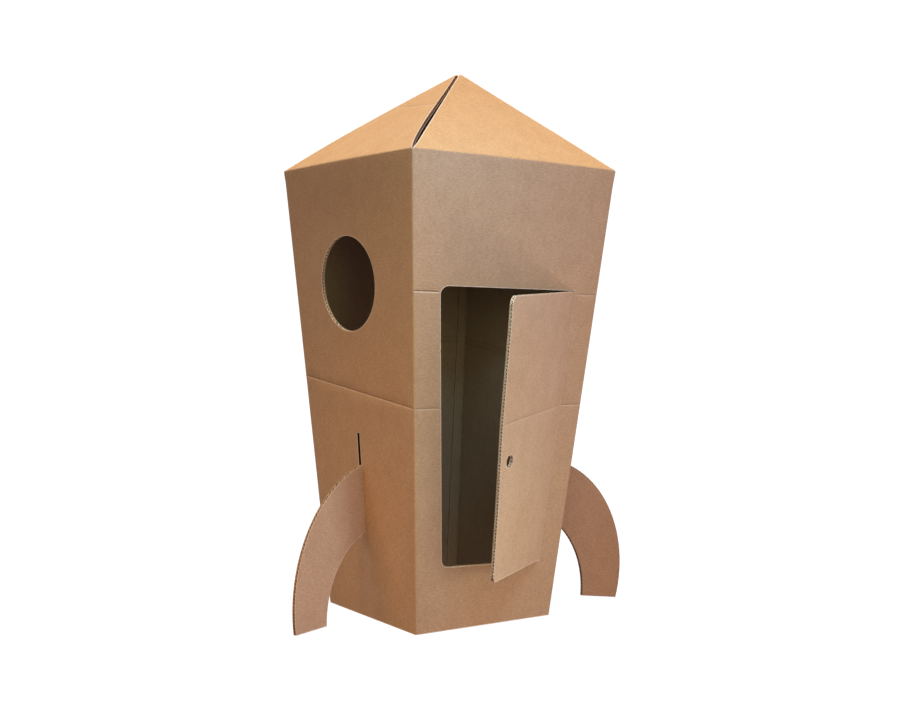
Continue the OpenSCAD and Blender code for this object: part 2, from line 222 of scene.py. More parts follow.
class Board:
    """Collects the faces of one piece of board, each with the place on the sheet that it comes from."""

    def __init__(self, name):
        self.name = name
        self.points, self.sheet, self.marks, self.faces, self.slots, self.smooth = [], [], [], [], [], []
        self.seams = []
        self.count = 0

    def add(self, place, flat, depth, faces, slot, smooth, marks=None):
        """Adds faces. marks holds for each point its distance from a cut, its height above a crease, and how
        strongly that crease's painted shade and highlight are laid on."""
        depth = np.broadcast_to(depth, len(flat))
        self.points.append(place(flat[:, 0], flat[:, 1], depth))
        self.sheet.append(np.c_[flat, depth])
        self.marks.append(np.full((len(flat), 3), 1.0) if marks is None else marks)
        self.faces += [tuple(int(i) + self.count for i in f) for f in faces]
        self.slots += [slot] * len(faces)
        self.smooth += [smooth] * len(faces)
        self.count += len(flat)
        return self.count - len(flat)

    def skin(self, place, flat, tris, top, bottom, slots, seam, marks):
        """A liner between two depths. It has no rim where seam says that the sheet goes on round a corner."""
        for depth, order, slot in ((top, 1, slots[0]), (bottom, -1, slots[1])):
            start = self.add(place, flat, depth, [f[::order] for f in tris], slot, True, marks)
            self.seams += [start + int(i) for i in np.nonzero(seam(flat))[0]]
        used = dict.fromkeys((f[i], f[(i + 1) % 3]) for f in tris for i in range(3))
        on_seam = seam(flat)
        rim = [e for e in used if (e[1], e[0]) not in used and not (on_seam[e[0]] and on_seam[e[1]])]
        if not rim:
            return
        quads = [(4 * i, 4 * i + 1, 4 * i + 2, 4 * i + 3) for i in range(len(rim))]
        ends = np.array([flat[[a, a, b, b]] for a, b in rim]).reshape(-1, 2)
        depths = np.tile([top, bottom, bottom, top], len(rim))
        self.add(place, ends, depths, quads, CUT_AND_PAINTED_HIGHLIGHT, False)

    def ribbon(self, place, line, inward, depth_at, half, closed):
        """A strip of paper that follows a cut, CUT_BACK to CUT_DEEP inside it: pale at the cut and on flanks
        facing up (painted highlight), near-black elsewhere (painted shade).
        """
        rows = []
        for off, side in ((CUT_BACK, -1), (CUT_BACK, 1), (CUT_DEEP, 1), (CUT_DEEP, -1)):
            flat = line + inward * off
            rows.append((flat, depth_at(flat) + side * half))
        n = len(line)
        flat = np.stack([r[0] for r in rows], 1).reshape(-1, 2)
        depth = np.stack([r[1] for r in rows], 1).reshape(-1)
        faces = []
        for i in range(n if closed else n - 1):
            j = (i + 1) % n
            faces += [(4 * i + k, 4 * j + k, 4 * j + (k + 1) % 4, 4 * i + (k + 1) % 4) for k in range(4)]
        if not closed:
            faces += [(0, 1, 2, 3), (4 * n - 1, 4 * n - 2, 4 * n - 3, 4 * n - 4)]
        self.add(place, flat, depth, faces, CORE_PAINTED_SHADE, False)
        first = len(self.slots) - len(faces)
        # Flanks that face up get the pale cut paper as painted highlight; those facing down keep the
        # near-black painted shade.
        for i in range(n if closed else n - 1):
            j = (i + 1) % n
            climb = (rows[0][1][j] - rows[0][1][i]) * (line[j][1] - line[i][1])
            self.slots[first + 4 * i] = CUT_AND_PAINTED_HIGHLIGHT
            if climb > 0:
                self.slots[first + 4 * i + 3] = CUT_AND_PAINTED_HIGHLIGHT
            elif climb < 0:
                self.slots[first + 4 * i + 1] = CUT_AND_PAINTED_HIGHLIGHT

    def crushed(self, place, line, closed, side, slot):
        """A cut on which the flutes are pressed flat."""
        path = dense(line, 0.02, None, closed)
        middle = lambda p: np.full(len(p), BOARD / 2)
        first = len(self.slots)
        self.ribbon(place, path, inward_of(path, closed, side), middle, BOARD / 2 - LINER, closed)
        self.slots[first:] = [slot] * (len(self.slots) - first)

    def core(self, place, line, closed, side):
        """The fluted layers and the middle liner along one cut.

        side is 1 where the board is on the line's left."""
        for flute in FLUTES:
            half = FLUTE_PAPER / 2
            middle = (flute["top"] + flute["bottom"]) / 2
            swing = (flute["bottom"] - flute["top"]) / 2 - half
            path = dense(line, 0.008, flute["pitch"] / 7, closed)
            wave = lambda p, f=flute, m=middle, s=swing: m + s * np.sin(2 * math.pi * p[:, 1] / f["pitch"])
            self.ribbon(place, path, inward_of(path, closed, side), wave, half, closed)
        path = dense(line, 0.012, None, closed)
        flat_depth = lambda p: np.full(len(p), sum(MIDDLE) / 2)
        half = (MIDDLE[1] - MIDDLE[0]) / 2
        self.ribbon(place, path, inward_of(path, closed, side), flat_depth, half, closed)

    def panel(self, place, outline, holes=(), creases=(), lines=(), spacing=0.02, slots=(OUTSIDE, INSIDE),
              cuts=None, seam=None, crushed=(), hinge=None):
        """A whole piece of board: both liners, and the core along its cuts."""
        seam = seam or (lambda p: np.zeros(len(p), bool))
        cuts = cuts if cuts is not None else [(outline, True, 1)]
        cuts = cuts + [(hole, True, -turning(hole)) for hole in holes]
        rims = []
        for line, closed, side in cuts:
            path = dense(line, spacing, None, closed)
            path = path + inward_of(path, closed, side) * RIM
            rims.append(np.vstack([path, path[:1]]) if closed else path)
        flat, tris = flat_mesh(outline, holes, list(lines) + crease_lines(creases) + rims, spacing)
        marks = np.c_[from_cuts(flat, cuts, hinge), above_creases(flat, creases)]
        self.skin(place, flat, tris, 0, LINER, (slots[0], CORE_PAINTED_SHADE), seam, marks)
        self.skin(place, flat, tris, BOARD - LINER, BOARD, (CORE_PAINTED_SHADE, slots[1]), seam, marks)
        for line, closed, side in cuts:
            pressed = [slot for c, slot in crushed if c is line]
            if pressed:
                self.crushed(place, line, closed, side, pressed[0])
            else:
                self.core(place, line, closed, side)

    def mesh(self, materials):
        mesh = bpy.data.meshes.new(self.name)
        mesh.from_pydata(np.concatenate(self.points).tolist(), [], self.faces)
        mesh.polygons.foreach_set("material_index", self.slots)
        mesh.polygons.foreach_set("use_smooth", self.smooth)
        for name, values in (("sheet", np.concatenate(self.sheet)), ("marks", np.concatenate(self.marks))):
            layer = mesh.attributes.new(name, "FLOAT_VECTOR", "POINT")
            layer.data.foreach_set("vector", values.astype(np.float32).ravel())
        for m in materials:
            mesh.materials.append(m)
        return mesh

    def build(self, body, replaces, materials):
        mesh = self.mesh(materials)
        if self.seams:
            bm = bmesh.new()
            bm.from_mesh(mesh)
            bm.verts.ensure_lookup_table()
            bmesh.ops.remove_doubles(bm, verts=[bm.verts[i] for i in self.seams], dist=2e-5)
            bm.to_mesh(mesh)
            bm.free()
        mesh.update()
        obj = bpy.data.objects.new(self.name, mesh)
        bpy.context.scene.collection.objects.link(obj)
        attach(obj, body)
        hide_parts(*replaces)
        return obj


def from_segment(points, p, q):
    """Distances of the points from the segment, and how far along it, from 0 to 1, they lie."""
    d = q - p
    t = np.clip((points - p) @ d / (d @ d + 1e-18), 0, 1)
    return np.hypot(*(points - p - t[:, None] * d).T), t


def from_cuts(points, cuts, hinge):
    """The distance from the nearest cut. hinge says which points of the outline are on a crease instead."""
    out = np.full(len(points), 0.05)
    for line, closed, _ in cuts:
        ends = np.roll(line, -1, axis=0)
        for p, q in zip(line if closed else line[:-1], ends):
            if not (hinge and hinge(p) and hinge(q)):
                out = np.minimum(out, from_segment(points, p, q)[0])
    return out


def at_hinge(p):
    return abs(p[0] - hinge_u(p[1])) < 0.0012


def above_creases(points, creases):
    """The distance from the nearest crease, less than zero below it, and how strongly that crease's painted
    shade and highlight are laid on.
    """
    out, shows = np.full(len(points), 1.0), np.zeros(len(points))
    for (p, q), _, _, show in creases:
        p, q = np.array(p), np.array(q)
        off, _ = from_segment(points, p, q)
        above = (q - p)[0] * (points - p)[:, 1] - (q - p)[1] * (points - p)[:, 0]
        shows = np.where(off < np.abs(out), show, shows)
        out = np.where(off < np.abs(out), np.where(above < 0, -off, off), out)
    return np.c_[out, shows]


def turning(loop):
    """1 for a loop that turns anticlockwise, and -1 for a clockwise one."""
    x, y = loop[:, 0], loop[:, 1]
    return 1 if (x * np.roll(y, -1) - np.roll(x, -1) * y).sum() > 0 else -1


def inward_of(path, closed, side):
    """Unit vectors into the board at each point of a cut.

    They point left of the way along it when side is 1."""
    if closed:
        ahead, behind = np.roll(path, -1, axis=0), np.roll(path, 1, axis=0)
    else:
        ahead = np.r_[path[1:], path[-1:]]
        behind = np.r_[path[:1], path[:-1]]
    d = ahead - behind
    d /= np.linalg.norm(d, axis=1, keepdims=True) + 1e-12
    return side * np.c_[-d[:, 1], d[:, 0]]


def turned(points, yaw):
    a = math.radians(yaw)
    x, y, z = points.T
    return np.c_[x * math.cos(a) - y * math.sin(a), x * math.sin(a) + y * math.cos(a), z]


def smooth_step(x):
    x = np.clip(x, 0, 1)
    return x * x * (3 - 2 * x)


def flap_facts(yaw, short=0.0):
    a = math.radians(yaw)
    peak = (PEAK_X * math.cos(a) + PEAK_Y * math.sin(a), PEAK_Y * math.cos(a) - PEAK_X * math.sin(a))
    run = EAVES_W / 2 + peak[1]
    return math.atan(PEAK_RISE / run), np.array([peak[0], math.hypot(run, PEAK_RISE) - short])


def corner_radius(s):
    """Radius of a folded corner's outer face, s up the wall."""
    return CORNER_R + (CORNER_TOP_R - CORNER_R) * smooth_step((s - SLOPE + SHARPEN) / (SHARPEN - 0.006))


def wall_place(yaw, bow, creases=(), pitch=0.5, hip_bow=None):
    """Folds a flat wall with its roof flap: round the corners, over the eaves and up the roof.

    Where a layer lies deeper than a fold's radius, it turns on a radius of FOLD_MIN."""
    bend = math.pi / 2 - pitch + LEAN
    k = math.tan(bend / 2)
    s1, s2 = SLOPE - EAVES_R * k, SLOPE + EAVES_R * k

    def place(u, s, d):
        d = np.array(d, float) + crease_depth(u, s, creases)
        reach = np.maximum(EAVES_R, d + FOLD_MIN)
        rho_e = reach - d
        t1, t2 = SLOPE - reach * k, SLOPE + reach * k
        wall = np.minimum(s, t1)
        h = half_wall(wall)
        turn = np.maximum(corner_radius(wall), d * COS + FOLD_MIN)
        past = np.clip((np.abs(u) - (h - turn)) / turn, 0, 1)
        past = np.where(s > s1 + 1e-7, 0, past)
        angle = past * math.pi / 4
        rho = turn - d * COS
        straight = np.where(past > 0, np.sign(u) * (h - turn), u)
        x = straight + np.sign(u) * rho * np.sin(angle)
        y = -((h - turn) + rho * np.cos(angle))
        z = wall * COS + d * SIN
        theta = np.clip((s - t1) / (t2 - t1), 0, 1) * bend
        over = s > t1
        out_y, out_z = -COS * np.cos(theta) - SIN * np.sin(theta), -SIN * np.cos(theta) + COS * np.sin(theta)
        centre_y = -BASE_W / 2 - t1 * SIN + reach * COS
        centre_z = t1 * COS + reach * SIN
        up = np.maximum(s - t2, 0)
        on_flap = over & (past <= 0)
        y = np.where(on_flap, centre_y + rho_e * out_y + up * math.cos(pitch), y)
        z = np.where(on_flap, centre_z + rho_e * out_z + up * math.sin(pitch), z)
        push = bow(u, s)
        y = y + push * np.where(over, out_y, -COS)
        z = z + push * np.where(over, out_z, -SIN)
        if hip_bow:
            side, amount, length = hip_bow
            t = np.clip((s - SLOPE) / length, 0, 1)
            edge = np.clip(side * u / np.maximum(EAVES_W / 2 * (1 - t), 0.02), 0, 1)
            push = amount * 4 * t * (1 - t) * edge ** 2
            direction = unit(np.array([side * math.sin(pitch), -math.sin(pitch), 2 * math.cos(pitch)]))
            x, y, z = x + push * direction[0], y + push * direction[1], z + push * direction[2]
        return turned(np.c_[x, y, z], yaw)

    return place, s1, s2


def crease_depth(u, s, creases):
    """How far a folding crease sinks the outer face, and lifts off again beside it."""
    sunk = np.zeros(len(u))
    for (p, q), deep, wide, _ in creases:
        p, q = np.array(p), np.array(q)
        along = unit(q - p)
        t = (np.c_[u, s] - p) @ along
        off = np.abs((u - p[0]) * along[1] - (s - p[1]) * along[0])
        ends = smooth_step(t / CREASE_FADE) * smooth_step((np.linalg.norm(q - p) - t) / CREASE_FADE)
        sunk = np.maximum(sunk, deep * ends * np.clip(1 - off / wide, 0, 1))
    return sunk


def crease_lines(creases):
    lines = []
    for (p, q), _, wide, _ in creases:
        p, q = np.array(p), np.array(q)
        along = unit(q - p)
        across = np.array([-along[1], along[0]])
        lines += [(p + across * o, q + across * o) for o in (-wide, -wide / 2, 0, wide / 2, wide)]
    return lines


def free_u(v):
    return -half_wall(v) + DOOR_FREE_MARGIN


def hinge_u(v):
    low, high = half_wall(DOOR_V0) - HINGE_LOW, half_wall(DOOR_V1) - HINGE_HIGH
    return low + (high - low) * (v - DOOR_V0) / (DOOR_V1 - DOOR_V0)


HINGE_V0 = DOOR_V0 - SILL_DROP


def door_outline(gap):
    low, foot, high, r = DOOR_V0 + gap, HINGE_V0 + gap, DOOR_V1 - gap, DOOR_CORNER_R - gap
    hinge_side = [(hinge_u(foot), foot), (hinge_u(high), high)]
    corners = [(free_u(low) + gap, low), *hinge_side, (free_u(high) + gap, high)]
    return round_loop(corners, [r, 0, 0, r], 10)


def flap_outline(tip, hollow, steps=28):
    """The two cut sides of a roof flap, from the right foot to the tip and from the tip to the left foot.

    The factor of 27 / 4 makes hollow the greatest depth of the right side's curve."""
    half = EAVES_W / 2
    left, right = np.array([-half, 0.0]), np.array([half, 0.0])
    left_in = unit(np.array([tip[1], -tip[0] - half]))
    reach = half * tip[1] / np.linalg.norm(tip - left)
    inward = np.array([-left_in[0], left_in[1]])
    t = np.linspace(0, 1, steps + 1)[:, None]
    side = right + (tip - right) * t + inward * hollow * t * (1 - t) ** 2 * 27 / 4
    k = 1 - HIP_SETBACK / reach
    return k * side, k * (tip + (left - tip) * t)


def rectangle(u0, u1, v0, v1):
    return np.array([(u0, v0), (u1, v0), (u1, v1), (u0, v1)])


def oval(u, v, w, h, steps=72):
    t = np.linspace(0, 2 * math.pi, steps, endpoint=False)
    return np.c_[u + w / 2 * np.cos(t), v + h / 2 * np.sin(t)]


def wall(board, yaw, holes, creases, bow, hollow=0.0, short=0.0, hip_side=0):
    """One wall of the tower with the roof flap above it."""
    pitch, tip = flap_facts(yaw, short)
    hip_bow = (hip_side, HIP_BULGE, tip[1]) if hip_side else None
    place, s1, s2 = wall_place(yaw, bow, creases, pitch, hip_bow)
    side_right, side_left = flap_outline(tip, hollow)
    foot = half_wall(s1) - CORNER_TOP_R - FOOT_CLEAR

    def widened(side):
        """The side with its foot let out to the corner."""
        short_by = foot - np.abs(side[:, 0]).max()
        let_out = short_by * np.clip(1 - side[:, 1] / LET_OUT, 0, 1) ** 2
        return np.c_[side[:, 0] + np.sign(side[:, 0]) * let_out, side[:, 1]]

    side_right, side_left = widened(side_right), widened(side_left)
    top = side_right[-1][1] - TIP_BLUNT
    keep = side_right[:, 1] < top
    tip_r = np.array([np.interp(top, side_right[:, 1], side_right[:, 0]), top])
    tip_l = np.array([np.interp(top, side_left[::-1, 1], side_left[::-1, 0]), top])
    up = np.array([0, SLOPE])
    right_cut = np.vstack([(foot, s1), side_right[keep] + up, tip_r + up])
    left_cut = np.vstack([tip_l + up, side_left[side_left[:, 1] < top] + up, (-foot, s1)])
    corner_v = np.linspace(0, s1, 54)
    right_edge = np.c_[half_wall(corner_v), corner_v]
    left_edge = np.c_[-half_wall(corner_v[::-1]), corner_v[::-1]]
    outline = np.vstack([right_edge, right_cut, left_cut, left_edge])
    lines = []
    sharpening = [0.0, SLOPE - SHARPEN] + [SLOPE - SHARPEN * k / 8 for k in range(7, 1, -1)] + [s1]
    for k in (0.25, 0.5, 0.75, 1.0):
        for sign in (-1, 1):
            lines.append([(sign * (half_wall(v) - corner_radius(v) * k), v) for v in sharpening])
    for k in range(0, 7):
        s = s1 + (s2 - s1) * k / 6
        lines.append([(-foot, s), (foot, s)])
    cut = np.vstack([right_edge[-1], right_cut, left_cut, left_edge[0]])
    bottom = np.array([left_edge[-1], right_edge[0]])
    seam = lambda p: (np.abs(np.abs(p[:, 0]) - half_wall(p[:, 1])) < 1e-6) & (p[:, 1] <= s1 + 1e-9)
    cuts = [(cut, False, 1), (bottom, False, 1)]
    hinge = at_hinge if yaw == DOOR_WALL else None
    first = len(board.faces)
    # The fin slots' cut faces are made near-black as painted shade; the flap's cut is crushed board in its
    # own colour.
    crushed = [(cut, PRESSED)] + [(hole, CORE_PAINTED_SHADE) for hole in holes if len(hole) == 4]
    board.panel(place, outline, holes, creases, lines, cuts=cuts, seam=seam, crushed=crushed, hinge=hinge)
    # Outer faces on the roof take the warmer copy of the board, as painted warm light from above.
    sheet = np.concatenate(board.sheet)
    for i in range(first, len(board.faces)):
        if board.slots[i] == OUTSIDE and min(sheet[k][1] for k in board.faces[i]) > SLOPE - 1e-6:
            board.slots[i] = ROOF


def bulge(amount, low):
    """A wall that bows outward toward its eaves, with a flap that follows and straightens toward its tip."""

    def bow(u, s):
        h = half_wall(np.minimum(s, SLOPE))
        across = np.cos(np.clip(u / h, -1, 1) * math.pi / 2)
        rise = smooth_step((s - low) / (SLOPE - low))
        fall = 1 - smooth_step((s - SLOPE) / 0.25)
        return amount * across * np.where(s < SLOPE, rise, fall)

    return bow


def crease(p, q, deep=0.0007, wide=0.004, show=0.35):
    """A folding crease: its line, how deep and how wide to each side it is pressed, and how strongly its
    painted shade and highlight are laid on.
    """
    return ((p, q), deep, wide, show)


def head_crease(u0, u1, v, show):
    """A level crease beside the doorway's head. It ends a little short of both sides."""
    return crease((u0 + CREASE_END, v), (u1 - CREASE_END, v), 0.0006, show=show)


def double_crease(front, rear):
    return [crease((-half_wall(front), front + dv), (half_wall(rear), rear + dv)) for dv in (0, CREASE_GAP)]


def make_tower(materials):
    board = Board("tower_board")
    head_l, head_r = DOOR_V1 - HEAD_CREASE_LEFT, DOOR_V1 - HEAD_CREASE_RIGHT
    v = CREASE_V
    front = [
        crease((-half_wall(v), v), (free_u(v), v)),
        crease((hinge_u(v), v), (half_wall(v), v)),
        head_crease(-half_wall(head_l), free_u(head_l), head_l, 0.9),
        head_crease(hinge_u(head_r), half_wall(head_r), head_r, 0.3),
    ]
    slot_at = lambda u, low: rectangle(u - SLOT_W / 2, u + SLOT_W / 2, low, SLOT_V1)
    doorway = with_nick(door_outline(0))
    wall(board, DOOR_WALL, [doorway], front, bulge(0.004, 0.8))
    side = [
        crease((-half_wall(CREASE_LEFT_V), CREASE_LEFT_V), (half_wall(CREASE_V), CREASE_V)),
        crease(*[(u, SLOPE + v) for u, v in ROOF_CREASE], 0.0005),
    ]
    holes = [oval(-WINDOW_BACK, WINDOW_V, WINDOW_W, WINDOW_H), slot_at(-LEFT_SLOT_BACK, LEFT_FIN["lip"])]
    wall(board, WINDOW_WALL, holes, side, bulge(0.003, 0.9), HIP_HOLLOW, TIP_SHORT, hip_side=-1)
    holes = [slot_at(-RIGHT_SLOT_FRONT, RIGHT_FIN["lip"])]
    wall(board, RIGHT_WALL, holes, double_crease(CREASE_RIGHT_V, CREASE_REAR_V), bulge(0.003, 0.8))
    holes = [slot_at(0, RIGHT_FIN["lip"])]
    wall(board, REAR_WALL, holes, double_crease(CREASE_REAR_V, CREASE_REAR_V), bulge(0.003, 0.8), hip_side=1)
    make_tab(board)
    return board.build("tower", ["body_shell"], materials)


def with_nick(outline):
    """The doorway with the crushed nick in its free edge. The outline runs down that edge last."""
    reach = NICK / math.sqrt(2)
    nick = [(free_u(v), v) for v in (NICK_V + reach, NICK_V - reach)]
    nick.insert(1, (free_u(NICK_V) - reach, NICK_V))
    return np.vstack([outline, nick])


def make_tab(board):
    """The glue tab, which lies on the inside of the rear wall."""
    low, high = TAB_END, SLOPE - TAB_END
    edge = BOARD + 0.0015
    outline = np.array([
        (-half_wall(low) + edge, low), (-half_wall(low) + TAB_W, low + TAB_W),
        (-half_wall(high) + TAB_W, high - TAB_W), (-half_wall(high) + edge, high),
    ])
    base, _, _ = wall_place(REAR_WALL, lambda u, s: 0 * u)
    place = lambda u, s, d: base(u, s, d + BOARD + 0.0001)
    board.panel(place, outline, slots=(INSIDE, INSIDE), spacing=0.03, crushed=[(outline, INSIDE)])


def wall_frame(u, v, w):
    """A point of the door wall, w outside its outer face."""
    return np.c_[u, -BASE_W / 2 - v * SIN - w * COS, v * COS - w * SIN]


def about(points, origin, axis, angle):
    p = points - origin
    c, s = math.cos(angle), math.sin(angle)
    return origin + p * c + np.cross(axis, p) * s + np.outer(p @ axis, axis) * (1 - c)


HINGE_FOOT = wall_frame(np.array([hinge_u(HINGE_V0)]), np.array([HINGE_V0]), 0)[0]
HINGE_HEAD = wall_frame(np.array([hinge_u(DOOR_V1)]), np.array([DOOR_V1]), 0)[0]
HINGE_AXIS = unit(HINGE_HEAD - HINGE_FOOT)


def make_door(materials):
    board = Board("door_flap")
    v = CREASE_V
    kink_v = v - DOOR_CREASE_FALL
    beside_hinge = [(hinge_u(w) - 0.004, w) for w in (HINGE_V0 + 0.012, DOOR_V1 - 0.012)]
    creases = [
        crease((free_u(kink_v), kink_v), (hinge_u(v), v), 0.0012, 0.007, show=0.25),
        crease(*beside_hinge, 0.0004, 0.003),
    ]
    outline = door_outline(DOOR_CUT)
    centre, half_w, half_h = free_u(FINGER_V) + FINGER_IN, FINGER_W / 2, FINGER_H / 2
    around_hole = rectangle(centre - half_w, centre + half_w, FINGER_V - half_h, FINGER_V + half_h)
    finger = round_loop(around_hole, [half_h - 1e-5] * 4, 8)

    def place(u, s, d):
        d = np.array(d, float) + crease_depth(u, s, creases)
        share = np.clip((hinge_u(s) - u) / (hinge_u(s) - free_u(s)), 0, 1)
        dent = -DOOR_DENT * share * np.clip(1 - np.abs(s - kink_v) / DENT_REACH, 0, 1)
        return about(wall_frame(u, s, dent - d), HINGE_FOOT, HINGE_AXIS, math.radians(DOOR_OPEN))

    board.panel(place, outline, [finger], creases, spacing=0.016, hinge=at_hinge)
    return board.build("door", ["door"], materials)


def make_crease(materials):
    """The inner liner where it bridges the door's crease. It stretches between the wall and the door."""
    board = Board("door_crease")
    v = np.linspace(HINGE_V0 + 0.002, DOOR_V1 - 0.002, 60)
    across = np.linspace(0, 1, 9)
    grid = [(a, w) for w in v for a in across]
    flat = np.array([(hinge_u(w) + 0.002 - 0.004 * a, w) for a, w in grid])
    turn = np.array([a for a, _ in grid]) * math.radians(DOOR_OPEN)

    def place(u, s, d):
        p = wall_frame(np.array([hinge_u(w) for w in s]), s, -d)
        out = np.empty((len(u), 3))
        for i, t in enumerate(turn):
            out[i] = about(p[i:i + 1], HINGE_FOOT, HINGE_AXIS, t)[0]
        return out

    n = len(across)
    faces = [(i * n + k, i * n + k + 1, (i + 1) * n + k + 1, (i + 1) * n + k)
             for i in range(len(v) - 1) for k in range(n - 1)]
    board.add(place, flat, BOARD - LINER / 2, faces, INSIDE, True)
    mesh = board.mesh(materials)
    bm = bmesh.new()
    bm.from_mesh(mesh)
    bmesh.ops.solidify(bm, geom=bm.faces[:], thickness=LINER)
    # The faces of the new rim come in no set order, so all are put in one
    bm.faces.sort(key=lambda f: f.calc_center_median().dot(Vector((0.17, 0.31, 1.0))))
    bm.to_mesh(mesh)
    bm.free()
    obj = bpy.data.objects.new(board.name, mesh)
    bpy.context.scene.collection.objects.link(obj)
    mid_v = np.array([(HINGE_V0 + DOOR_V1) / 2])
    on_wall = wall_frame(hinge_u(mid_v), mid_v, -BOARD)
    on_door = about(on_wall, HINGE_FOOT, HINGE_AXIS, math.radians(DOOR_OPEN))
    tuple(on_door[0])
    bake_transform(obj)
    return obj


def fin_y(x, z):
    return (z + x * SIN) / COS


def fin_outline(fin):
    toe = np.array([fin["reach"], fin_y(fin["reach"], TOE_CLEAR)])
    heel_x = fin["reach"] - fin["toe"]
    heel = np.array([heel_x, fin_y(heel_x, TOE_CLEAR + fin["lift"])])
    root, lip = np.array([0, fin["root"]]), np.array([FIN_LIP, fin["lip"]])
    outer = arc_between(root, toe, fin["outer"], 28)
    inner = arc_between(lip, heel, fin["inner"], 28)[::-1]
    face = -BOARD - HOOK_GAP
    back, low = face - HOOK_W, fin["lip"] - HOOK_DROP
    edges = [tuple(p) for p in outer] + [tuple(p) for p in inner] + [(face, fin["lip"])]
    hook = [(face, low), (back, low), (back, fin["root"])]
    return round_loop(edges + hook, [0] * len(edges) + list(HOOK_RADII))[::-1]


def fin_place(yaw, slot_u, swing):
    a = math.radians(swing)

    def place(x, y, d):
        side, out = BOARD / 2 - d, x + BOARD / 2
        u = slot_u + side * math.cos(a) + out * math.sin(a)
        w = -BOARD / 2 - side * math.sin(a) + out * math.cos(a)
        return turned(wall_frame(u, y, w), yaw)

    return place


def make_fin(name, node, yaw, slot_u, swing, fin, materials):
    """A fin's first face is the one on the right, seen from outside its wall."""
    board = Board(name)
    outline = fin_outline(fin)
    outline = outline if turning(outline) > 0 else outline[::-1]
    board.panel(fin_place(yaw, slot_u, swing), outline, slots=(OUTSIDE, OUTSIDE))
    obj = board.build("tower", [node], materials)
    bm = bmesh.new()
    bm.from_mesh(obj.data)
    bmesh.ops.reverse_faces(bm, faces=bm.faces[:])
    bm.to_mesh(obj.data)
    bm.free()
    return obj


class Nodes:
    """Short calls for a material's node tree."""

    def __init__(self, name):
        self.material = bpy.data.materials.new(name)
        self.material.use_nodes = True
        self.tree = self.material.node_tree
        self.shader = self.tree.nodes["Principled BSDF"]

    def add(self, kind, inputs=None, **settings):
        node = self.tree.nodes.new(kind)
        for key, value in settings.items():
            setattr(node, key, value)
        for key, value in (inputs or {}).items():
            if isinstance(value, bpy.types.NodeSocket):
                self.tree.links.new(value, node.inputs[key])
            else:
                node.inputs[key].default_value = value
        return node

    def math(self, operation, *values):
        return self.add("ShaderNodeMath", dict(enumerate(values)), operation=operation).outputs[0]

    def mix(self, factor, a, b):
        node = self.add("ShaderNodeMix", data_type="RGBA")
        for socket, value in ((node.inputs[0], factor), (node.inputs[6], a), (node.inputs[7], b)):
            if isinstance(value, bpy.types.NodeSocket):
                self.tree.links.new(value, socket)
            else:
                socket.default_value = value
        return node.outputs[2]

    def noise(self, vector, scale, detail=4.0, rough=0.55):
        inputs = {"Vector": vector, "Scale": scale, "Detail": detail, "Roughness": rough}
        return self.add("ShaderNodeTexNoise", inputs).outputs["Fac"]

    def stretched(self, vector, across):
        """The place on the sheet, with the direction along the flutes scaled."""
        inputs = {0: vector, 1: (across, 1.0, 1.0)}
        return self.add("ShaderNodeVectorMath", inputs, operation="MULTIPLY").outputs[0]

    def range(self, value, low, high, to_low=0.0, to_high=1.0):
        inputs = {"Value": value, "From Min": low, "From Max": high, "To Min": to_low, "To Max": to_high}
        return self.add("ShaderNodeMapRange", inputs).outputs[0]


def rgb(r, g, b):
    """A colour given as it shows on screen, 0 to 255."""
    out = []
    for c in (r, g, b):
        c /= 255
        out.append(c / 12.92 if c <= 0.04045 else ((c + 0.055) / 1.055) ** 2.4)
    return (*out, 1.0)


